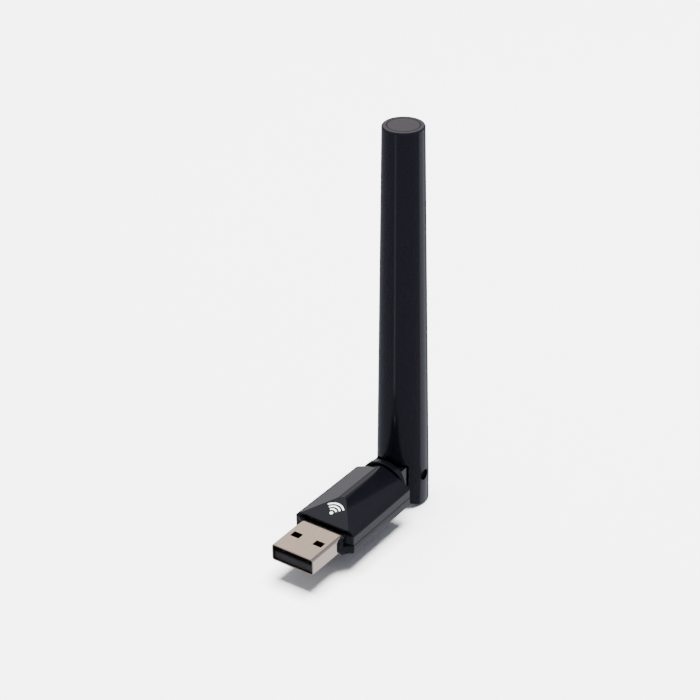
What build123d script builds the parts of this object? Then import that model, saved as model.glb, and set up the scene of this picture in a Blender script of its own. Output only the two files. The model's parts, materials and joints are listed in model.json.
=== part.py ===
"""USB Wi-Fi adapter with a rod antenna that swivels and folds. Millimetres.

Frame: the origin is the centre of the plug's open front end. +Y runs from the plug back through
the body to the antenna hinge, +X is to the right seen from behind the plug's mouth, and +Z is up.
The antenna stands upright, as it is used.
"""

from build123d import *
import os

# ---- USB-A plug -------------------------------------------------------------------------------
PLUG_WIDTH = 12.0
PLUG_HEIGHT = 4.5
PLUG_SHEET = 0.3
PLUG_CORNER = 0.65
PLUG_REAR = 17.8  # how far back the metal shell runs, inside the case
LATCH_WIDTH = 2.5
LATCH_LENGTH = 1.95
LATCH_SPACING = 6.5
LATCH_FRONT = 5.16
TONGUE_FRONT = 0.45
TONGUE_TOP = 0.1
TONGUE_WIDTH = 11.3
CONTACT_WIDTH = 1.1
CONTACT_THICK = 0.22
CONTACT_REAR = 20.4
TONGUE_REAR = 17.5
TONGUE_BEVEL = 0.2
CONTACTS = ((-3.5, 1.2), (-1.0, 2.2), (1.0, 2.2), (3.5, 1.2))  # (x, front end): outer two lead

# ---- Case -------------------------------------------------------------------------------------
CASE_FRONT = 13.0
CASE_BACK = 37.1
HALF_WIDTH_FRONT = 8.55
HALF_WIDTH_BACK = 8.3
PARTING = -0.18
CASE_BOTTOM = -2.95
BOTTOM_ROUND = 0.9
SHOULDER = 2.15  # height of the crease between the side band and the roof
SHOULDER_RUN = 1.3  # the rounded shoulder's width, in from the side
SHOULDER_MIDDLE = 0.56  # where its rounding is measured, in from the side
SHOULDER_MIDDLE_DROP = 0.45  # and how far that point lies below the flank's foot
CREST_HALF = 1.5  # half-width of the rounded crest between the two flat flanks
CREST_EDGE = 5.68
CREST = 5.98
FLANK_FALL = 0.42  # fall of each flank per millimetre of width
WALL = 1.2
FLOOR = 1.05
GROOVE = 0.08  # each half's bevel along the joint line
JOINT_GAP = 0.16  # height of the shadow gap between the halves
JOINT_DEPTH = 0.4
SLOPE_START = 3.37  # height of the front slope's lower edge
SLOPE_RISE = 0.334  # rise of the front slope per millimetre of length
NOTCH_HALF = 6.8  # opening in the upper case's front wall
NOTCH_TOP = 2.95
NOSE_TIP = (6.3, 9.9)  # the lower case flares forward beside the plug: its front end, in plan
NOSE_MIDDLE = (7.2, 11.75)  # a point half way along that flare
PILLAR_TIP = (6.1, 11.7)  # the upper case's flare reaches less far
PILLAR_MIDDLE = (7.3, 12.55)
NOSE_BULGE_Z = 0.6  # height where the nose reaches furthest forward
NOSE_LAP = 0.5  # how far the flare runs into the case behind it
NOSE_TOP_Y = 11.4
NOSE_TOP = 2.2
NOSE_FOOT_Y = 12.4
FRAME_FRONT = 13.9  # inner frame that holds the plug's shell
FRAME_REAR = 15.2
FRAME_HALF = 6.7
FRAME_TOP = 2.66
PLUG_GAP = 0.04
BEARING_HALF = 4.0  # half-width of the slot under the swivel's neck
FIT_GAP = 0.1

# ---- Circuit board ----------------------------------------------------------------------------
BOARD_TOP = TONGUE_TOP
BOARD_THICK = 1.0
BOARD_FRONT = 18.0
BOARD_BACK = 33.8
BOARD_HALF = 6.95
BOARD_CORNER = 0.6
POST = 1.1
VIA_RADIUS = 0.4
VIA_X = 2.6
VIA_Y = 32.4
SOLDER_LENGTH = 0.7
SOLDER_TAPER = 25
LEAD_JOINT = (1.0, 0.6)
LEAD_JOINT_HEIGHT = 0.35
LEAD_JOINT_SETBACK = 0.5
LEAD_JOINT_TAPER = 20

# ---- Swivel, hinge and fork -------------------------------------------------------------------
HINGE_Y = 46.4
AXIS_Z = 0.85
NECK_RADIUS = 1.9
NECK_BORE = 0.85
BEARING_RADIUS = 1.96
RETAINER_RADIUS = 2.4
RETAINER_FRONT = 34.5
RETAINER_BACK = 35.55
COLLAR_FRONT = 37.5
COLLAR_BACK = 39.1
COLLAR_RADIUS = 6.87
COLLAR_CENTRE_Z = -0.28
COLLAR_ROUND = 0.2
COLLAR_FOOT = -2.2
TAB_HALF = 4.35
TAB_RADIUS = 3.9
TAB_LAP = 0.2  # how far the tab runs into the collar
SLOT_HALF = 4.7
SLOT_CEILING = 4.25  # above the hinge axis
SLOT_MOUTH_RISE = 0.475  # rise of the slot's mouth per millimetre towards the front
SLOT_MOUTH_START = 4.4  # how far in front of the hinge axis the mouth starts to rise
FORK_FRONT_RADIUS = 8.1
FORK_HEEL = 8.72
HEEL_START = 3.6  # how far behind the hinge axis the heel is square
SADDLE_RADIUS = 8.4
SADDLE_GAP = 0.3
SADDLE_INNER = SLOT_HALF - SADDLE_GAP  # the collar is hollowed for the cheeks beyond here
PIN_RADIUS = 1.39
PIN_HOLE_RADIUS = 1.45
PIN_INNER = 1.7
PIN_OUTER = 5.95
PIN_BEVEL = 0.25

# ---- Antenna ----------------------------------------------------------------------------------
ROD_RADIUS_BASE = 6.5
ROD_RADIUS_TIP = 5.08
ROD_TIP = 93.9
ROD_BORE = 3.5
ROD_BORE_FLOOR = 12.0
CAP_RADIUS = 3.95
CAP_THICK = 1.4
SNUG_GAP = 0.03  # round what is pushed into the rod or the choke
CAP_ROUND = 0.2
SPIGOT_LENGTH = 2.5
TIP_ROUND = 0.35
COAX_RADIUS = 0.565
COAX_START = 30.6
COAX_BEND = 3.6
FEED_Z = 46.0
CHOKE_RADIUS = 2.1
CHOKE_WALL = 0.3
CHOKE_END = 1.0  # thickness of its closed upper end
CHOKE_BOTTOM = 17.0
THROAT_RADIUS = 0.95
CORE_RADIUS = 0.36
CORE_TOP = 48.5
RADIATOR_RADIUS = 0.5
RADIATOR_LENGTH = 29.0
SPACER_LENGTH = 4.0
SPACER_INSET = 4.0  # how far in from the dipole's ends the two spacers sit
CLEAR = 10.0  # how far a cutting shape reaches past what it cuts

os.makedirs("parts", exist_ok=True)


def save(builder, name):
    """Label one finished sub-part and write it as its own STEP file."""
    builder.part.label = name
    export_step(builder.part, f"parts/{name}.step")


def half_width(y):
    """Outer half-width of the case at a distance y behind the plug's mouth."""
    share = (y - CASE_FRONT) / (CASE_BACK - CASE_FRONT)
    return HALF_WIDTH_FRONT + (HALF_WIDTH_BACK - HALF_WIDTH_FRONT) * share


def flank_height(x):
    """Height of the roof's flat flank at a distance x from the middle."""
    return CREST_EDGE - FLANK_FALL * (x - CREST_HALF)


def roof_section(y, inset):
    """Cross-section of the upper case: upright sides, rounded shoulders, flat flanks, round crest."""
    side = half_width(y) - inset
    drop = inset * (1 + FLANK_FALL**2) ** 0.5
    flank_foot = side - SHOULDER_RUN
    foot_height = flank_height(flank_foot) - drop
    shoulder_top = min(SHOULDER, foot_height - SHOULDER_MIDDLE_DROP * 2)
    middle = (side - SHOULDER_MIDDLE, foot_height - SHOULDER_MIDDLE_DROP)
    bottom = PARTING - inset
    with BuildSketch(Plane.XZ.offset(-y)) as section:
        with BuildLine():
            Line((-side, bottom), (side, bottom))
            Line((side, bottom), (side, shoulder_top))
            ThreePointArc((side, shoulder_top), middle, (flank_foot, foot_height))
            Line((flank_foot, foot_height), (CREST_HALF, CREST_EDGE - drop))
            ThreePointArc(
                (CREST_HALF, CREST_EDGE - drop),
                (0, CREST - drop),
                (-CREST_HALF, CREST_EDGE - drop),
            )
            Line((-CREST_HALF, CREST_EDGE - drop), (-flank_foot, foot_height))
            ThreePointArc((-flank_foot, foot_height), (-middle[0], middle[1]), (-side, shoulder_top))
            Line((-side, shoulder_top), (-side, bottom))
        make_face()
    return section.sketch


def roof_block(y_front, y_back, inset):
    """Solid under the roof surface, drawn in by inset, with the flat front slope cut off it."""
    with BuildPart() as block:
        loft(sections=[roof_section(y_front, inset), roof_section(y_back, inset)], ruled=True)
        low_end = SLOPE_START - inset - SLOPE_RISE * CLEAR
        high_end = SLOPE_START - inset + SLOPE_RISE * 2 * CLEAR
        with BuildSketch(Plane.YZ):
            with BuildLine():
                Polyline(
                    (CASE_FRONT - CLEAR, low_end),
                    (CASE_FRONT + 2 * CLEAR, high_end),
                    (CASE_FRONT - CLEAR, high_end),
                    close=True,
                )
            make_face()
        extrude(amount=CLEAR, both=True, mode=Mode.SUBTRACT)
    return block.part


def nose_block(tip, middle, low, high, inner, outer):
    """Both sides of a flare beside the plug, between two heights and two distances from the middle."""
    back = half_width(CASE_FRONT + NOSE_LAP)
    with BuildPart() as block:
        with BuildSketch(Plane.XY.offset(CASE_BOTTOM)):
            with BuildLine():
                Line(tip, (-tip[0], tip[1]))
                ThreePointArc(
                    (-tip[0], tip[1]),
                    (-middle[0], middle[1]),
                    (-HALF_WIDTH_FRONT, CASE_FRONT),
                )
                Line((-HALF_WIDTH_FRONT, CASE_FRONT), (-back, CASE_FRONT + NOSE_LAP))
                Line((-back, CASE_FRONT + NOSE_LAP), (back, CASE_FRONT + NOSE_LAP))
                Line((back, CASE_FRONT + NOSE_LAP), (HALF_WIDTH_FRONT, CASE_FRONT))
                ThreePointArc((HALF_WIDTH_FRONT, CASE_FRONT), middle, tip)
            make_face()
        extrude(amount=NOSE_TOP - CASE_BOTTOM)
        with BuildSketch(Plane.YZ):
            with BuildLine():
                Line((CASE_FRONT + CLEAR, CASE_BOTTOM), (CASE_FRONT + CLEAR, NOSE_TOP))
                Line((CASE_FRONT + CLEAR, NOSE_TOP), (NOSE_TOP_Y, NOSE_TOP))
                ThreePointArc(
                    (NOSE_TOP_Y, NOSE_TOP),
                    (NOSE_TIP[1], NOSE_BULGE_Z),
                    (NOSE_FOOT_Y, CASE_BOTTOM),
                )
                Line((NOSE_FOOT_Y, CASE_BOTTOM), (CASE_FRONT + CLEAR, CASE_BOTTOM))
            make_face()
        extrude(amount=CLEAR, both=True, mode=Mode.INTERSECT)
        with BuildSketch(Plane.XZ):
            centre = (inner + outer) / 2
            with Locations((centre, (low + high) / 2), (-centre, (low + high) / 2)):
                Rectangle(outer - inner, high - low)
        extrude(amount=-2 * CLEAR, mode=Mode.INTERSECT)
    return block.part


def tray_plan(y_front, inset):
    """Plan of the case behind y_front, drawn in by inset."""
    front = half_width(y_front) - inset
    back = half_width(CASE_BACK) - inset
    with BuildSketch(Plane.XY.offset(CASE_BOTTOM)) as plan:
        with BuildLine():
            Polyline(
                (-front, y_front),
                (front, y_front),
                (back, CASE_BACK - inset),
                (-back, CASE_BACK - inset),
                close=True,
            )
        make_face()
    return plan.sketch


def chips(name, places, size, height, corner=0.0):
    """A node of like components on top of the board: size is (x, y), places are their centres."""
    with BuildPart() as group:
        with BuildSketch(Plane.XY.offset(BOARD_TOP)):
            with Locations(*places):
                Rectangle(*size)
        extrude(amount=height)
        if corner:
            chamfer(group.faces().group_by(Axis.Z)[-1].edges(), corner)
    save(group, name)


def spacer(name, height, inner):
    """Foam ring that centres what it holds in the rod's bore."""
    with BuildPart() as ring:
        with BuildSketch(Plane.XY.offset(height)):
            with Locations((0, HINGE_Y)):
                Circle(ROD_BORE - SNUG_GAP)
                Circle(inner, mode=Mode.SUBTRACT)
        extrude(amount=SPACER_LENGTH)
    save(ring, name)


# ---- Plug -------------------------------------------------------------------------------------
with BuildPart() as usb_shell:
    with BuildSketch(Plane.XZ):
        RectangleRounded(PLUG_WIDTH, PLUG_HEIGHT, PLUG_CORNER)
        RectangleRounded(
            PLUG_WIDTH - 2 * PLUG_SHEET,
            PLUG_HEIGHT - 2 * PLUG_SHEET,
            PLUG_CORNER - PLUG_SHEET,
            mode=Mode.SUBTRACT,
        )
    extrude(amount=-PLUG_REAR)
    # Two latch windows through the top sheet and two through the bottom one.
    with BuildSketch(Plane.XY.offset(-PLUG_HEIGHT)):
        with Locations((0, LATCH_FRONT + LATCH_LENGTH / 2)):
            with GridLocations(LATCH_SPACING, 1, 2, 1):
                Rectangle(LATCH_WIDTH, LATCH_LENGTH)
    extrude(amount=2 * PLUG_HEIGHT, mode=Mode.SUBTRACT)
save(usb_shell, "usb_shell")

inner_floor = -PLUG_HEIGHT / 2 + PLUG_SHEET
with BuildPart() as usb_tongue:
    with BuildSketch(Plane.XY.offset(inner_floor)):
        with Locations((0, (TONGUE_FRONT + TONGUE_REAR) / 2)):
            Rectangle(TONGUE_WIDTH, TONGUE_REAR - TONGUE_FRONT)
    extrude(amount=TONGUE_TOP + CONTACT_THICK / 2 - inner_floor)
    bottom = usb_tongue.faces().sort_by(Axis.Z)[0]
    fillet(bottom.edges().filter_by(Axis.Y), PLUG_CORNER - PLUG_SHEET)
    chamfer(usb_tongue.faces().sort_by(Axis.Y)[0].edges().filter_by(Axis.X), TONGUE_BEVEL)
    # Each contact lies in its own shallow groove, open at the rear.
    with BuildSketch(Plane.XY.offset(TONGUE_TOP)):
        for x, front in CONTACTS:
            with Locations((x, (front + CONTACT_REAR) / 2)):
                Rectangle(CONTACT_WIDTH, CONTACT_REAR - front)
    extrude(amount=CONTACT_THICK, mode=Mode.SUBTRACT)
save(usb_tongue, "usb_tongue")

with BuildPart() as usb_contacts:
    with BuildSketch(Plane.XY.offset(TONGUE_TOP)):
        for x, front in CONTACTS:
            with Locations((x, (front + CONTACT_REAR) / 2)):
                Rectangle(CONTACT_WIDTH, CONTACT_REAR - front)
    extrude(amount=CONTACT_THICK)
save(usb_contacts, "usb_contacts")

# ---- Upper case -------------------------------------------------------------------------------
with BuildPart() as upper_case:
    add(roof_block(CASE_FRONT, CASE_BACK, 0))
    add(nose_block(PILLAR_TIP, PILLAR_MIDDLE, PARTING, NOSE_TOP, NOTCH_HALF, HALF_WIDTH_FRONT))
    chamfer(upper_case.faces().sort_by(Axis.Z)[0].edges(), GROOVE)
    # Hollow inside, leaving the front and back walls.
    add(roof_block(CASE_FRONT + WALL, CASE_BACK - WALL, WALL), mode=Mode.SUBTRACT)
    # Opening in the front wall for the plug and the frame around it.
    with BuildSketch(Plane.XZ):
        with Locations((0, (PARTING + NOTCH_TOP - CLEAR) / 2)):
            Rectangle(2 * NOTCH_HALF, NOTCH_TOP - PARTING + CLEAR)
    extrude(amount=-(FRAME_REAR + FIT_GAP), mode=Mode.SUBTRACT)
    # Slot in the back wall for the lower case's bearing tongue, rounded over the neck.
    with BuildSketch(Plane.XZ.offset(-CASE_BACK + 2 * WALL)):
        with Locations((0, (PARTING + AXIS_Z - CLEAR) / 2)):
            Rectangle(2 * BEARING_HALF, AXIS_Z - PARTING + CLEAR)
        with Locations((0, AXIS_Z)):
            Circle(BEARING_RADIUS)
    extrude(amount=-CLEAR, mode=Mode.SUBTRACT)
save(upper_case, "upper_case")

# ---- Lower case -------------------------------------------------------------------------------
with BuildPart() as lower_case:
    add(tray_plan(CASE_FRONT, 0))
    extrude(amount=PARTING - CASE_BOTTOM)
    add(nose_block(NOSE_TIP, NOSE_MIDDLE, CASE_BOTTOM, PARTING, 0, HALF_WIDTH_FRONT))
    under = lower_case.faces().sort_by(Axis.Z)[0]
    fillet(under.edges().sort_by(Axis.Y)[1:], BOTTOM_ROUND)
    # Shadow gap round the top rim, where the halves meet.
    rim = lower_case.faces().sort_by(Axis.Z)[-1]
    with BuildSketch(Plane.XY.offset(PARTING)):
        add(rim)
        offset(amount=-JOINT_DEPTH, kind=Kind.INTERSECTION, mode=Mode.SUBTRACT)
    extrude(amount=-JOINT_GAP, mode=Mode.SUBTRACT)
    # The nose's inner part stands up beside the plug, and a frame behind it holds the shell.
    add(nose_block(NOSE_TIP, NOSE_MIDDLE, CASE_BOTTOM + GROOVE, NOSE_TOP, 0, FRAME_HALF))
    with BuildSketch(Plane.XZ.offset(-FRAME_FRONT)):
        with Locations((0, (CASE_BOTTOM + FLOOR + FRAME_TOP) / 2)):
            Rectangle(2 * FRAME_HALF, FRAME_TOP - CASE_BOTTOM - FLOOR)
    extrude(amount=-(FRAME_REAR - FRAME_FRONT))
    with BuildSketch(Plane.XZ.offset(-CASE_FRONT)):
        with Locations((0, (CASE_BOTTOM + FLOOR + NOSE_TOP) / 2)):
            Rectangle(2 * FRAME_HALF, NOSE_TOP - CASE_BOTTOM - FLOOR)
    extrude(amount=-(FRAME_FRONT - CASE_FRONT))
    # Tray inside, up to the back wall.
    add(tray_plan(FRAME_REAR, WALL).moved(Location((0, 0, FLOOR))))
    extrude(amount=PLUG_HEIGHT, mode=Mode.SUBTRACT)
    # Four posts hold the circuit board's corners.
    with BuildSketch(Plane.XY.offset(CASE_BOTTOM + FLOOR)):
        with Locations((0, (BOARD_FRONT + BOARD_BACK) / 2)):
            with GridLocations(2 * BOARD_HALF - POST, BOARD_BACK - BOARD_FRONT - POST, 2, 2):
                Rectangle(POST, POST)
    extrude(amount=BOARD_TOP - BOARD_THICK - CASE_BOTTOM - FLOOR)
    # Tongue that closes the upper case's back slot under the swivel's neck.
    with BuildSketch(Plane.XZ.offset(-CASE_BACK)):
        with Locations((0, (PARTING - FLOOR + AXIS_Z) / 2)):
            Rectangle(2 * (BEARING_HALF - FIT_GAP), AXIS_Z - PARTING + FLOOR)
    extrude(amount=WALL)
    with BuildSketch(Plane.XZ.offset(-CASE_BACK + 2 * WALL)):
        with Locations((0, AXIS_Z)):
            Circle(BEARING_RADIUS)
    extrude(amount=-CLEAR, mode=Mode.SUBTRACT)
    # Opening for the plug's shell.
    with BuildSketch(Plane.XZ):
        RectangleRounded(
            PLUG_WIDTH + 2 * PLUG_GAP,
            PLUG_HEIGHT + 2 * PLUG_GAP,
            PLUG_CORNER + PLUG_GAP,
        )
    extrude(amount=-(PLUG_REAR + FIT_GAP), mode=Mode.SUBTRACT)
save(lower_case, "lower_case")

# ---- Circuit board and what is soldered to it ---------------------------------------------------
with BuildPart() as circuit_board:
    with BuildSketch(Plane.XY.offset(BOARD_TOP - BOARD_THICK)):
        with Locations((0, (BOARD_FRONT + BOARD_BACK) / 2)):
            RectangleRounded(2 * BOARD_HALF, BOARD_BACK - BOARD_FRONT, BOARD_CORNER)
    extrude(amount=BOARD_THICK)
    # Two ground vias big enough to see, one each side of the lead's pads.
    with BuildSketch(Plane.XY.offset(BOARD_TOP)):
        with Locations((-VIA_X, VIA_Y), (VIA_X, VIA_Y)):
            Circle(VIA_RADIUS)
    extrude(amount=-BOARD_THICK, mode=Mode.SUBTRACT)
save(circuit_board, "circuit_board")


chips("wifi_chip", [(0.4, 26.2)], (5.0, 5.0), 0.85, 0.12)
chips("crystal", [(-4.7, 28.6)], (2.5, 3.2), 0.75, 0.1)
chips("voltage_regulator", [(4.9, 23.6)], (1.6, 2.9), 1.1, 0.1)
chips("power_inductor", [(-4.6, 24.2)], (3.0, 3.0), 1.4, 0.2)
chips(
    "ceramic_capacitors",
    [(-5.6, 22.0), (5.2, 21.0), (4.6, 27.2), (4.6, 28.8), (5.6, 31.6), (-5.6, 31.8)],
    (1.6, 0.8),
    0.8,
)
chips("chip_resistors", [(-2.2, 22.4), (-0.9, 22.4), (0.9, 22.4), (2.2, 22.4)], (0.5, 1.0), 0.35)
chips("antenna_filter_parts", [(-1.2, 30.0), (1.4, 30.0), (-3.2, 30.6), (3.2, 30.2)], (0.6, 1.0), 0.4)

with BuildPart() as solder_joints:
    # One joint behind each contact's tail, and one in front of the lead's end.
    for x, front in CONTACTS:
        with BuildSketch(Plane.XY.offset(BOARD_TOP)):
            with Locations((x, CONTACT_REAR + SOLDER_LENGTH / 2)):
                Rectangle(CONTACT_WIDTH, SOLDER_LENGTH)
        extrude(amount=CONTACT_THICK, taper=SOLDER_TAPER)
    with BuildSketch(Plane.XY.offset(BOARD_TOP)):
        with Locations((0, COAX_START - LEAD_JOINT_SETBACK)):
            Rectangle(*LEAD_JOINT)
    extrude(amount=LEAD_JOINT_HEIGHT, taper=LEAD_JOINT_TAPER)
save(solder_joints, "solder_joints")

# ---- Swivel: neck, retaining flange, collar and hinge tab, moulded as one piece -----------------
collar_half = (COLLAR_RADIUS**2 - (AXIS_Z - COLLAR_CENTRE_Z) ** 2) ** 0.5
collar_top = COLLAR_CENTRE_Z + COLLAR_RADIUS
with BuildPart() as swivel_knuckle:
    # Collar: a round arch down to the axis, then a narrow foot between the fork's cheeks.
    with BuildSketch(Plane.XZ.offset(-COLLAR_FRONT)):
        with BuildLine():
            Line((-collar_half, AXIS_Z), (collar_half, AXIS_Z))
            ThreePointArc((collar_half, AXIS_Z), (0, collar_top), (-collar_half, AXIS_Z))
        make_face()
    extrude(amount=-(COLLAR_BACK - COLLAR_FRONT))
    fillet(swivel_knuckle.edges().filter_by(GeomType.CIRCLE), COLLAR_ROUND)
    with BuildSketch(Plane.XZ.offset(-COLLAR_FRONT)):
        with Locations((0, (AXIS_Z + COLLAR_FOOT) / 2)):
            Rectangle(2 * TAB_HALF, AXIS_Z - COLLAR_FOOT)
    extrude(amount=-(COLLAR_BACK - COLLAR_FRONT))
    # Neck in the case's bearing, with a flange behind the back wall that keeps it in.
    with BuildSketch(Plane.XZ.offset(-RETAINER_FRONT)):
        with Locations((0, AXIS_Z)):
            Circle(RETAINER_RADIUS)
    extrude(amount=-(RETAINER_BACK - RETAINER_FRONT))
    with BuildSketch(Plane.XZ.offset(-RETAINER_BACK)):
        with Locations((0, AXIS_Z)):
            Circle(NECK_RADIUS)
    extrude(amount=-(COLLAR_FRONT - RETAINER_BACK))
    # The fork's cheeks swing past here, so the collar's back is hollowed about the hinge axis.
    for side in (-1, 1):
        with BuildSketch(Plane.YZ.offset(side * SADDLE_INNER)):
            with Locations((HINGE_Y, AXIS_Z)):
                Circle(SADDLE_RADIUS)
        extrude(amount=side * CLEAR, mode=Mode.SUBTRACT)
    # Hinge tab with a round end.
    with BuildSketch(Plane.YZ):
        with Locations((HINGE_Y, AXIS_Z)):
            Circle(TAB_RADIUS)
        with Locations(((COLLAR_BACK - TAB_LAP + HINGE_Y) / 2, AXIS_Z)):
            Rectangle(HINGE_Y - COLLAR_BACK + TAB_LAP, 2 * TAB_RADIUS)
    extrude(amount=TAB_HALF, both=True)
    # Bore for the lead, and the slot that it swings through as the antenna folds.
    with BuildSketch(Plane.XZ):
        with Locations((0, AXIS_Z)):
            Circle(NECK_BORE)
    extrude(amount=-HINGE_Y, mode=Mode.SUBTRACT)
    with BuildSketch(Plane.YZ):
        with Locations((HINGE_Y - COAX_BEND + TAB_RADIUS, AXIS_Z - NECK_BORE + TAB_RADIUS)):
            Rectangle(2 * TAB_RADIUS, 2 * TAB_RADIUS)
    extrude(amount=NECK_BORE, both=True, mode=Mode.SUBTRACT)
    # Hole for the hinge pins.
    with BuildSketch(Plane.YZ):
        with Locations((HINGE_Y, AXIS_Z)):
            Circle(PIN_RADIUS)
    extrude(amount=CLEAR, both=True, mode=Mode.SUBTRACT)
save(swivel_knuckle, "swivel_knuckle")

with BuildPart() as hinge_pins:
    with BuildSketch(Plane.YZ.offset(PIN_INNER)):
        with Locations((HINGE_Y, AXIS_Z)):
            Circle(PIN_RADIUS)
    extrude(amount=PIN_OUTER - PIN_INNER)
    chamfer(hinge_pins.faces().sort_by(Axis.X)[-1].edges(), PIN_BEVEL)
    mirror(about=Plane.YZ)
save(hinge_pins, "hinge_pins")

# ---- Antenna ----------------------------------------------------------------------------------
heel_corner = (HINGE_Y + HEEL_START, AXIS_Z - FORK_HEEL)
mouth_top = AXIS_Z + SLOT_CEILING + SLOT_MOUTH_RISE * (CLEAR - SLOT_MOUTH_START)
with BuildPart() as antenna_sleeve:
    # Tapered rod about the upright line through the hinge.
    with BuildSketch(Plane.YZ):
        with BuildLine():
            Polyline(
                (HINGE_Y, AXIS_Z - CLEAR),
                (HINGE_Y + ROD_RADIUS_BASE, AXIS_Z - CLEAR),
                (HINGE_Y + ROD_RADIUS_BASE, AXIS_Z),
                (HINGE_Y + ROD_RADIUS_TIP, ROD_TIP),
                (HINGE_Y, ROD_TIP),
                close=True,
            )
        make_face()
    revolve(axis=Axis((0, HINGE_Y, 0), (0, 0, 1)))
    fillet(antenna_sleeve.edges().group_by(Axis.Z)[-1], TIP_ROUND)
    # Foot: round in front, so that it swings past the collar, and a square heel behind.
    with BuildSketch(Plane.YZ):
        with BuildLine():
            Line((HINGE_Y - FORK_FRONT_RADIUS, AXIS_Z), (HINGE_Y - FORK_FRONT_RADIUS, ROD_TIP))
            Line((HINGE_Y - FORK_FRONT_RADIUS, ROD_TIP), (HINGE_Y + CLEAR, ROD_TIP))
            Line((HINGE_Y + CLEAR, ROD_TIP), (HINGE_Y + CLEAR, AXIS_Z - FORK_HEEL))
            Line((HINGE_Y + CLEAR, AXIS_Z - FORK_HEEL), heel_corner)
            Line(heel_corner, (HINGE_Y, AXIS_Z - FORK_FRONT_RADIUS))
            RadiusArc(
                (HINGE_Y, AXIS_Z - FORK_FRONT_RADIUS),
                (HINGE_Y - FORK_FRONT_RADIUS, AXIS_Z),
                FORK_FRONT_RADIUS,
            )
        make_face()
    extrude(amount=CLEAR, both=True, mode=Mode.INTERSECT)
    # Slot between the cheeks, open below, in front and behind, with a sloped mouth in front.
    with BuildSketch(Plane.YZ):
        with BuildLine():
            Polyline(
                (HINGE_Y - CLEAR, AXIS_Z - CLEAR),
                (HINGE_Y + CLEAR, AXIS_Z - CLEAR),
                (HINGE_Y + CLEAR, AXIS_Z + SLOT_CEILING),
                (HINGE_Y - SLOT_MOUTH_START, AXIS_Z + SLOT_CEILING),
                (HINGE_Y - CLEAR, mouth_top),
                close=True,
            )
        make_face()
    extrude(amount=SLOT_HALF, both=True, mode=Mode.SUBTRACT)
    with BuildSketch(Plane.YZ):
        with Locations((HINGE_Y, AXIS_Z)):
            Circle(PIN_HOLE_RADIUS)
    extrude(amount=CLEAR, both=True, mode=Mode.SUBTRACT)
    # Bore from the tip, its narrow throat over the slot, and the seat of the cap.
    with BuildSketch(Plane.XY.offset(AXIS_Z)):
        with Locations((0, HINGE_Y)):
            Circle(THROAT_RADIUS)
    extrude(amount=ROD_BORE_FLOOR, mode=Mode.SUBTRACT)
    with BuildSketch(Plane.XY.offset(ROD_BORE_FLOOR)):
        with Locations((0, HINGE_Y)):
            Circle(ROD_BORE)
    extrude(amount=ROD_TIP, mode=Mode.SUBTRACT)
    with BuildSketch(Plane.XY.offset(ROD_TIP)):
        with Locations((0, HINGE_Y)):
            Circle(CAP_RADIUS)
    extrude(amount=-CAP_THICK, mode=Mode.SUBTRACT)
save(antenna_sleeve, "antenna_sleeve")

with BuildPart() as antenna_cap:
    with BuildSketch(Plane.XY.offset(ROD_TIP)):
        with Locations((0, HINGE_Y)):
            Circle(CAP_RADIUS - SNUG_GAP)
    extrude(amount=-CAP_THICK)
    with BuildSketch(Plane.XY.offset(ROD_TIP - CAP_THICK)):
        with Locations((0, HINGE_Y)):
            Circle(ROD_BORE - SNUG_GAP)
    extrude(amount=-SPIGOT_LENGTH)
    fillet(antenna_cap.edges().group_by(Axis.Z)[-1], CAP_ROUND)
save(antenna_cap, "antenna_cap")

with BuildPart() as coax_lead:
    with BuildLine():
        FilletPolyline(
            (0, COAX_START, AXIS_Z),
            (0, HINGE_Y, AXIS_Z),
            (0, HINGE_Y, FEED_Z),
            radius=COAX_BEND,
        )
    with BuildSketch(Plane.XZ.offset(-COAX_START)):
        with Locations((0, AXIS_Z)):
            Circle(COAX_RADIUS)
    sweep()
save(coax_lead, "coax_lead")

with BuildPart() as choke_sleeve:
    with BuildSketch(Plane.XY.offset(CHOKE_BOTTOM)):
        with Locations((0, HINGE_Y)):
            Circle(CHOKE_RADIUS)
    extrude(amount=FEED_Z - CHOKE_BOTTOM)
    with BuildSketch(Plane.XY.offset(CHOKE_BOTTOM)):
        with Locations((0, HINGE_Y)):
            Circle(CHOKE_RADIUS - CHOKE_WALL)
    extrude(amount=FEED_Z - CHOKE_BOTTOM - CHOKE_END, mode=Mode.SUBTRACT)
    with BuildSketch(Plane.XY.offset(CHOKE_BOTTOM)):
        with Locations((0, HINGE_Y)):
            Circle(COAX_RADIUS + SNUG_GAP)
    extrude(amount=FEED_Z - CHOKE_BOTTOM, mode=Mode.SUBTRACT)
save(choke_sleeve, "choke_sleeve")

with BuildPart() as feed_insulator:
    with BuildSketch(Plane.XY.offset(FEED_Z)):
        with Locations((0, HINGE_Y)):
            Circle(CORE_RADIUS)
    extrude(amount=CORE_TOP - FEED_Z)
save(feed_insulator, "feed_insulator")

with BuildPart() as radiator_rod:
    with BuildSketch(Plane.XY.offset(CORE_TOP)):
        with Locations((0, HINGE_Y)):
            Circle(RADIATOR_RADIUS)
    extrude(amount=RADIATOR_LENGTH)
save(radiator_rod, "radiator_rod")


spacer("lower_spacer", CHOKE_BOTTOM + SPACER_INSET, CHOKE_RADIUS + SNUG_GAP)
spacer(
    "upper_spacer",
    CORE_TOP + RADIATOR_LENGTH - SPACER_INSET - SPACER_LENGTH,
    RADIATOR_RADIUS + SNUG_GAP,
)
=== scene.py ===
import json
import math

import bmesh
import bpy
from mathutils import Matrix, Vector


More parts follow.
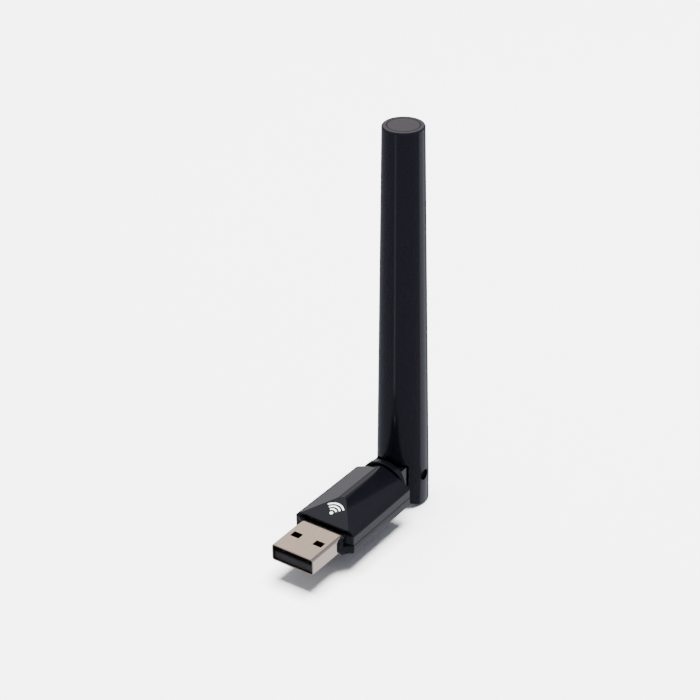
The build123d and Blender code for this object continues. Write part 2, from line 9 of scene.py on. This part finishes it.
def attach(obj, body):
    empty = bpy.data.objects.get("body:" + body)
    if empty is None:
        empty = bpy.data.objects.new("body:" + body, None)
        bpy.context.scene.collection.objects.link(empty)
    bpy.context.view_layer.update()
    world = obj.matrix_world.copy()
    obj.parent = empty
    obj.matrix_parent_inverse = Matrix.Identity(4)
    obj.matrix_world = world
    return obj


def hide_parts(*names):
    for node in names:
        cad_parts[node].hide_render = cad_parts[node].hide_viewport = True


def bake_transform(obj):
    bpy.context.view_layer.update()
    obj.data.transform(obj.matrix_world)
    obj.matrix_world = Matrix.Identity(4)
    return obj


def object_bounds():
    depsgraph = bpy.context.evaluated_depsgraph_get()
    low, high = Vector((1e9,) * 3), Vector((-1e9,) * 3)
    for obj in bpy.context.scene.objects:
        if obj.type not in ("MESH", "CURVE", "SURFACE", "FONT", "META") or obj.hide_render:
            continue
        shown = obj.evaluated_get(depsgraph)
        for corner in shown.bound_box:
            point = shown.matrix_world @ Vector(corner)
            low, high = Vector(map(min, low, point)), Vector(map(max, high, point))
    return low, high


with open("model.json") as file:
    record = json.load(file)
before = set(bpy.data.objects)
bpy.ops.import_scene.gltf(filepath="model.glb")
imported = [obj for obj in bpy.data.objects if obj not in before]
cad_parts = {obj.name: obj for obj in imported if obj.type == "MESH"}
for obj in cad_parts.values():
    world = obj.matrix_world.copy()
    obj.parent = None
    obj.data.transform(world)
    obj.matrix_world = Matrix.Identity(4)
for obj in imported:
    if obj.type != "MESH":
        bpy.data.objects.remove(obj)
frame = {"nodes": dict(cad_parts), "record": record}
cad_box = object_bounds()
MM = 0.001  # a millimetre in the scene's metres

# ---- Camera -------------------------------------------------------------------------------------
CAMERA_AT = (0.23367, -0.30121, 0.27878)
CAMERA_AZIMUTH = 35.67
CAMERA_ELEVATION = 30.23
CAMERA_ROLL = -0.79
CAMERA_LENS = 102.857
CAMERA_SENSOR = 36.0
CLIP_NEAR = 0.01
CLIP_FAR = 10.0


def camera_axes(azimuth, elevation, roll):
    """Right, up and back of a camera at that azimuth, elevation and roll, in degrees."""
    a, e, r = (math.radians(x) for x in (azimuth, elevation, roll))
    back = Vector((math.sin(a) * math.cos(e), -math.cos(a) * math.cos(e), math.sin(e)))
    level = Vector((math.cos(a), math.sin(a), 0.0))
    upright = back.cross(level)
    right = math.cos(r) * level + math.sin(r) * upright
    up = math.cos(r) * upright - math.sin(r) * level
    return right, up, back


def add_camera():
    data = bpy.data.cameras.new("camera")
    data.lens = CAMERA_LENS
    data.sensor_width = CAMERA_SENSOR
    data.clip_start = CLIP_NEAR
    data.clip_end = CLIP_FAR
    camera = bpy.data.objects.new("camera", data)
    bpy.context.scene.collection.objects.link(camera)
    axes = Matrix(camera_axes(CAMERA_AZIMUTH, CAMERA_ELEVATION, CAMERA_ROLL)).transposed()
    camera.matrix_world = Matrix.Translation(CAMERA_AT) @ axes.to_4x4()
    bpy.context.scene.camera = camera


# ---- Materials ----------------------------------------------------------------------------------
WEAR_RADIUS = 0.0001  # how far from a sharp edge the wear reaches
WORN_BLACK = (0.012, 0.012, 0.014)
EVEN = (1, 1, 1)  # a pattern that isn't drawn out
DRAWN_ALONG_PLUG = (1, 0.05, 1)
DRAWN_ALONG_ROD = (1, 1, 0.05)


class Finish:
    """A node material: one Principled shader, fed by procedural patterns in object coordinates."""

    def __init__(self, name, **sockets):
        self.material = bpy.data.materials.new(name)
        self.material.use_nodes = True
        self.tree = self.material.node_tree
        self.tree.nodes.clear()
        self.shader = self.node("ShaderNodeBsdfPrincipled")
        output = self.node("ShaderNodeOutputMaterial")
        self.link(self.shader.outputs["BSDF"], output.inputs["Surface"])
        for socket, value in sockets.items():
            self.shader.inputs[socket.replace("_", " ")].default_value = value
        self.place = self.node("ShaderNodeTexCoord").outputs["Object"]
        self.normal = None

    def node(self, kind, **settings):
        made = self.tree.nodes.new(kind)
        for key, value in settings.items():
            setattr(made, key, value)
        return made

    def link(self, source, target):
        self.tree.links.new(source, target)

    def noise(self, scale, detail=3.0, stretch=EVEN, roughness=0.55):
        """Noise with about scale features per metre, drawn out along an axis by stretch."""
        mapping = self.node("ShaderNodeMapping")
        mapping.inputs["Scale"].default_value = stretch
        self.link(self.place, mapping.inputs["Vector"])
        noise = self.node("ShaderNodeTexNoise")
        noise.inputs["Scale"].default_value = scale
        noise.inputs["Detail"].default_value = detail
        noise.inputs["Roughness"].default_value = roughness
        self.link(mapping.outputs["Vector"], noise.inputs["Vector"])
        return noise.outputs["Fac"]

    def spread(self, source, low, high, start=0.35, end=0.65):
        """Maps a pattern's start..end onto low..high."""
        ranged = self.node("ShaderNodeMapRange")
        values = (("From Min", start), ("From Max", end), ("To Min", low), ("To Max", high))
        for socket, value in values:
            ranged.inputs[socket].default_value = value
        self.link(source, ranged.inputs["Value"])
        return ranged.outputs["Result"]

    def mix(self, share, first, second):
        """Colour between first and second by share."""
        mixed = self.node("ShaderNodeMix", data_type="RGBA")
        self.link(share, mixed.inputs["Factor"])
        for colour, socket in ((first, mixed.inputs["A"]), (second, mixed.inputs["B"])):
            if hasattr(colour, "links"):
                self.link(colour, socket)
            else:
                socket.default_value = (*colour, 1.0)
        return mixed.outputs["Result"]

    def colour(self, source):
        self.link(source, self.shader.inputs["Base Color"])

    def roughness(self, source):
        self.link(source, self.shader.inputs["Roughness"])

    def bump(self, source, height, strength=1.0):
        """Adds relief of that height in metres on top of what is there."""
        bump = self.node("ShaderNodeBump")
        bump.inputs["Distance"].default_value = height
        bump.inputs["Strength"].default_value = strength
        self.link(source, bump.inputs["Height"])
        if self.normal:
            self.link(self.normal, bump.inputs["Normal"])
        self.normal = bump.outputs["Normal"]
        self.link(self.normal, self.shader.inputs["Normal"])

    def edge_wear(self, radius, amount):
        """0 on faces, towards amount along sharp edges, broken up by noise."""
        bevel = self.node("ShaderNodeBevel", samples=4)
        bevel.inputs["Radius"].default_value = radius
        geometry = self.node("ShaderNodeNewGeometry")
        dot = self.node("ShaderNodeVectorMath", operation="DOT_PRODUCT")
        self.link(bevel.outputs["Normal"], dot.inputs[0])
        self.link(geometry.outputs["Normal"], dot.inputs[1])
        edge = self.spread(dot.outputs["Value"], 1.0, 0.0, 0.7, 0.99)
        broken = self.spread(self.noise(900.0, 4.0), 0.0, amount, 0.4, 0.62)
        product = self.node("ShaderNodeMath", operation="MULTIPLY")
        self.link(edge, product.inputs[0])
        self.link(broken, product.inputs[1])
        return product.outputs["Value"]


def gloss_black(name, tint, rough):
    """Polished moulding: near-black, faint flow marks, hairline scuffs and softly worn edges."""
    finish = Finish(name, IOR=1.42)
    cloud = finish.noise(160.0, 4.0)
    base = finish.mix(cloud, tint, tuple(1.25 * c for c in tint))
    finish.colour(finish.mix(finish.edge_wear(WEAR_RADIUS, 0.35), base, WORN_BLACK))
    finish.roughness(finish.spread(finish.noise(420.0, 5.0), rough, rough + 0.04))
    finish.bump(finish.noise(95.0, 2.0), 0.000012, 0.4)
    return finish.material


def satin_metal(name, colour, dark, rough, stretch, spread=0.06, cloudy=0.3):
    """Bare or plated metal: fine draw lines, cloudy colour and brighter worn edges."""
    finish = Finish(name, Metallic=1.0, IOR=1.5)
    lines = finish.noise(2600.0, 3.0, stretch)
    cloud = finish.noise(240.0, 4.0)
    base = finish.mix(finish.spread(cloud, 0.0, cloudy), colour, dark)
    worn = tuple(min(1, 1.1 * c) for c in colour)
    finish.colour(finish.mix(finish.edge_wear(WEAR_RADIUS, 0.6), base, worn))
    finish.roughness(finish.spread(lines, rough, rough + spread))
    finish.bump(lines, 0.000002, 0.35)
    return finish.material


def moulded(name, colour, light, rough, grain=0.00001, specks=2600.0, shine=0.5):
    """Plain moulded or pressed stuff: fine grain, cloudy colour and uneven gloss."""
    finish = Finish(name, IOR=1.48, Specular_IOR_Level=shine)
    cloud = finish.noise(330.0, 5.0)
    finish.colour(finish.mix(finish.spread(cloud, 0.0, 1.0), colour, light))
    finish.roughness(finish.spread(finish.noise(700.0, 4.0), rough, min(1.0, rough + 0.15)))
    finish.bump(finish.noise(specks, 3.0), grain, 0.7)
    return finish.material


def board(name):
    """Cloudy solder mask with paler tracks that show through it."""
    finish = Finish(name, IOR=1.5, Coat_Weight=0.3, Coat_Roughness=0.2)
    tracks = finish.node("ShaderNodeTexBrick", offset=0.5)
    tracks.inputs["Scale"].default_value = 420.0
    tracks.inputs["Mortar Size"].default_value = 0.03
    finish.link(finish.place, tracks.inputs["Vector"])
    mask = finish.mix(finish.noise(500.0, 3.0), (0.01, 0.09, 0.045), (0.018, 0.13, 0.06))
    finish.colour(finish.mix(tracks.outputs["Fac"], mask, (0.05, 0.22, 0.1)))
    finish.roughness(finish.spread(finish.noise(1200.0, 3.0), 0.3, 0.45))
    finish.bump(tracks.outputs["Fac"], 0.00002, 0.5)
    return finish.material


FINISHES = {
    "plug_metal": satin_metal(
        "plug_metal", (0.78, 0.64, 0.53), (0.7, 0.57, 0.47), 0.13, DRAWN_ALONG_PLUG
    ),
    "black_insulator": moulded(
        "black_insulator", (0.006, 0.006, 0.008), (0.01, 0.01, 0.013), 0.45
    ),
    "gold_contacts": satin_metal(
        "gold_contacts", (0.9, 0.66, 0.25), (0.75, 0.5, 0.18), 0.2, DRAWN_ALONG_PLUG
    ),
    "gloss_black_case": gloss_black("gloss_black_case", (0.0018, 0.0018, 0.0028), 0.045),
    "gloss_black_swivel": gloss_black("gloss_black_swivel", (0.0018, 0.0018, 0.0028), 0.06),
    "gloss_black_rod": gloss_black("gloss_black_rod", (0.0014, 0.0012, 0.0032), 0.1),
    "board_laminate": board("board_laminate"),
    "chip_epoxy": moulded("chip_epoxy", (0.012, 0.012, 0.012), (0.03, 0.03, 0.03), 0.5),
    "crystal_can": satin_metal("crystal_can", (0.75, 0.74, 0.7), (0.62, 0.61, 0.58), 0.25, EVEN),
    "inductor_ferrite": moulded("inductor_ferrite", (0.05, 0.05, 0.055), (0.1, 0.1, 0.105), 0.6),
    "ceramic_tan": moulded("ceramic_tan", (0.42, 0.31, 0.2), (0.55, 0.43, 0.3), 0.4),
    "solder": satin_metal("solder", (0.75, 0.75, 0.74), (0.55, 0.55, 0.55), 0.18, EVEN),
    # Painted shade: the pin's end is near-black with almost no shine, darker than steel, standing
    # in for the shade of a deep recess in the hole.
    "pin_steel": moulded(
        "pin_steel", (0.001, 0.001, 0.0014), (0.002, 0.002, 0.0028), 0.6, shine=0.06
    ),
    "coax_jacket": moulded("coax_jacket", (0.03, 0.03, 0.03), (0.06, 0.06, 0.06), 0.35),
    "brass_sleeve": satin_metal(
        "brass_sleeve", (0.8, 0.6, 0.28), (0.62, 0.44, 0.18), 0.22, DRAWN_ALONG_ROD
    ),
    "white_insulator": moulded("white_insulator", (0.75, 0.74, 0.7), (0.85, 0.84, 0.8), 0.4),
    "foam": moulded("foam", (0.05, 0.05, 0.05), (0.11, 0.11, 0.11), 0.85, 0.00012, 1800.0),
}


def dress_nodes():
    """Each CAD node takes the finish of its slot in the record."""
    for part in frame["record"]["subparts"]:
        node = frame["nodes"][part["node"]]
        node.data.materials.clear()
        node.data.materials.append(FINISHES[part["material_slot"]])


# ---- Added pieces -------------------------------------------------------------------------------
SLOPE_RISE = 0.334
MARK_AT = Vector((0.0, 17.2, 4.77)) * MM
MARK_FOOT = -1.5 * MM
MARK_ARCS = (1.15 * MM, 2.05 * MM, 2.95 * MM)
MARK_STROKE = 0.2 * MM  # half of an arc's width
MARK_SWEEP = math.radians(50)  # how far an arc reaches to each side
MARK_STEPS = 20
MARK_DOT = 0.42 * MM
DOT_CORNERS = 24
PRINT_LIFT = 0.012 * MM
PRINT_THICK = 0.02 * MM


def extruded_mesh(name, outlines, place):
    """A thin solid of several flat outlines, each a list of (x, y), put in place by a matrix."""
    shape = bmesh.new()
    for outline in outlines:
        face = shape.faces.new([shape.verts.new((x, y, 0.0)) for x, y in outline])
        raised = bmesh.ops.extrude_face_region(shape, geom=[face])["geom"]
        corners = [part for part in raised if isinstance(part, bmesh.types.BMVert)]
        bmesh.ops.translate(shape, verts=corners, vec=(0.0, 0.0, PRINT_THICK))
    bmesh.ops.recalc_face_normals(shape, faces=shape.faces)
    shape.transform(place)
    mesh = bpy.data.meshes.new(name)
    shape.to_mesh(mesh)
    shape.free()
    made = bpy.data.objects.new(name, mesh)
    bpy.context.scene.collection.objects.link(made)
    return made


def arc_outline(radius):
    """A band along an arc about the mark's foot, open side down."""
    angles = [MARK_SWEEP * (2 * step / MARK_STEPS - 1) for step in range(MARK_STEPS + 1)]
    outer, inner = (
        [(edge * math.sin(angle), MARK_FOOT + edge * math.cos(angle)) for angle in angles]
        for edge in (radius + MARK_STROKE, radius - MARK_STROKE)
    )
    return outer + inner[::-1]


def add_mark():
    """Generic wireless sign, three arcs over a dot, printed on the case's front slope."""
    up_slope = Vector((0, 1, SLOPE_RISE)).normalized()
    normal = Vector((1, 0, 0)).cross(up_slope)
    turn = Matrix((Vector((1, 0, 0)), up_slope, normal)).transposed().to_4x4()
    place = Matrix.Translation(MARK_AT + PRINT_LIFT * normal) @ turn
    angles = [2 * math.pi * corner / DOT_CORNERS for corner in range(DOT_CORNERS)]
    dot = [(MARK_DOT * math.cos(angle), MARK_FOOT + MARK_DOT * math.sin(angle)) for angle in angles]
    outlines = [dot] + [arc_outline(radius) for radius in MARK_ARCS]
    mark = extruded_mesh("signal_mark", outlines, place)
    ink = moulded("print_ink", (0.62, 0.62, 0.64), (0.78, 0.78, 0.8), 0.45, 0.000004, 3000.0)
    mark.data.materials.append(ink)
    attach(mark, "plug_body")


HINGE_Y = 46.4 * MM
AXIS_Z = 0.85 * MM
LEAD_RADIUS = 0.565 * MM
LEAD_POINTS = (
    (0.0, 30.6 * MM, AXIS_Z),
    (0.0, 39.2 * MM, AXIS_Z),
    (0.0, HINGE_Y, AXIS_Z),
    (0.0, HINGE_Y, 8.05 * MM),
    (0.0, HINGE_Y, 46.0 * MM),
)


def add_lead():
    """The coaxial lead, swept along a fixed path that bends up at the hinge, in place of the hidden
    CAD lead.
    """
    path = bpy.data.curves.new("lead_path", "CURVE")
    path.dimensions = "3D"
    path.bevel_depth = LEAD_RADIUS
    path.bevel_resolution = 5
    path.resolution_u = 24
    path.use_fill_caps = True
    spline = path.splines.new("NURBS")
    spline.points.add(len(LEAD_POINTS) - 1)
    for point, at in zip(spline.points, LEAD_POINTS):
        point.co = (*at, 1.0)
    spline.order_u = 3
    spline.use_endpoint_u = True
    drawn = bpy.data.objects.new("lead_path", path)
    bpy.context.scene.collection.objects.link(drawn)
    bpy.context.view_layer.update()
    depsgraph = bpy.context.evaluated_depsgraph_get()
    mesh = bpy.data.meshes.new_from_object(drawn.evaluated_get(depsgraph))
    bpy.data.objects.remove(drawn)
    mesh.name = "lead"
    lead = bpy.data.objects.new("lead", mesh)
    bpy.context.scene.collection.objects.link(lead)
    mesh.materials.clear()
    mesh.materials.append(FINISHES["coax_jacket"])
    mesh.polygons.foreach_set("use_smooth", [True] * len(mesh.polygons))
    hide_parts("coax_lead")
    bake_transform(lead)


# ---- Stage --------------------------------------------------------------------------------------
FLOOR_FRONT = -1.2
FLOOR_BACK = 2.2
FLOOR_SIDE = 1.6
SURROUND_COLOUR = (0.84, 0.88, 1.0, 1.0)
SURROUND_STRENGTH = 0.45


def add_floor():
    """A plain pale sheet, left out of reflections: polished faces mirror the even surround."""
    lowest = cad_box[0].z
    mesh = bpy.data.meshes.new("floor")
    across, _, back = camera_axes(CAMERA_AZIMUTH, 0.0, 0.0)
    corners = [
        FLOOR_SIDE * side * across - depth * back + Vector((0, 0, lowest))
        for side, depth in ((-1, FLOOR_FRONT), (1, FLOOR_FRONT), (1, FLOOR_BACK), (-1, FLOOR_BACK))
    ]
    mesh.from_pydata(corners, [], [(0, 1, 2, 3)])
    floor = bpy.data.objects.new("floor", mesh)
    bpy.context.scene.collection.objects.link(floor)
    paper = Finish("floor_paper")
    paper.colour(paper.mix(paper.noise(40.0, 3.0), (0.93, 0.93, 0.93), (0.95, 0.95, 0.95)))
    paper.roughness(paper.spread(paper.noise(900.0, 3.0), 0.8, 0.95))
    mesh.materials.append(paper.material)
    floor.visible_glossy = False


def add_light(name, at, aim, size, power, colour=(1, 1, 1), mirrored=True):
    """A soft box that faces aim, unseen by the camera. size is (width, height) in metres."""
    data = bpy.data.lights.new(name, "AREA")
    data.shape = "RECTANGLE"
    data.size, data.size_y = size
    data.energy = power
    data.color = colour
    light = bpy.data.objects.new(name, data)
    bpy.context.scene.collection.objects.link(light)
    light.location = at
    light.rotation_mode = "QUATERNION"
    light.rotation_quaternion = (Vector(aim) - Vector(at)).to_track_quat("-Z", "Y")
    light.visible_glossy = mirrored
    light.visible_camera = False


def add_world():
    world = bpy.data.worlds.new("world")
    world.use_nodes = True
    background = world.node_tree.nodes["Background"]
    background.inputs["Color"].default_value = SURROUND_COLOUR
    background.inputs["Strength"].default_value = SURROUND_STRENGTH
    bpy.context.scene.world = world


add_camera()
dress_nodes()
add_mark()
add_lead()
add_floor()
add_world()
# The overhead box lights the scene and isn't mirrored. Each of the others is there for the soft
# reflection that it gives to the polished faces, two of them from below the floor.
add_light("overhead", (0.0, 0.25, 1.6), (0.0, 0.25, 0.0), (1.0, 1.0), 190.0, mirrored=False)
add_light("back_left", (-0.6, 0.6, 0.09), (0, 0.03, 0.01), (0.45, 0.2), 0.15, (1.0, 0.93, 0.9))
add_light("left_high", (-0.5, 0.27, 0.83), (0, 0.02, 0.01), (0.5, 0.5), 0.45)
add_light("behind", (-0.5, 0.72, 0.5), (0, 0.03, 0.0), (0.4, 0.3), 0.29, (1.0, 0.86, 0.74))
add_light("low_right", (0.5, 0.75, -0.5), (0, 0.04, 0.03), (0.8, 0.6), 1.1, (0.9, 0.92, 1.0))
add_light("low_front", (-0.11, -0.95, -0.5), (0, 0.046, 0.05), (0.1, 1.1), 0.35, (0.92, 0.93, 1.0))
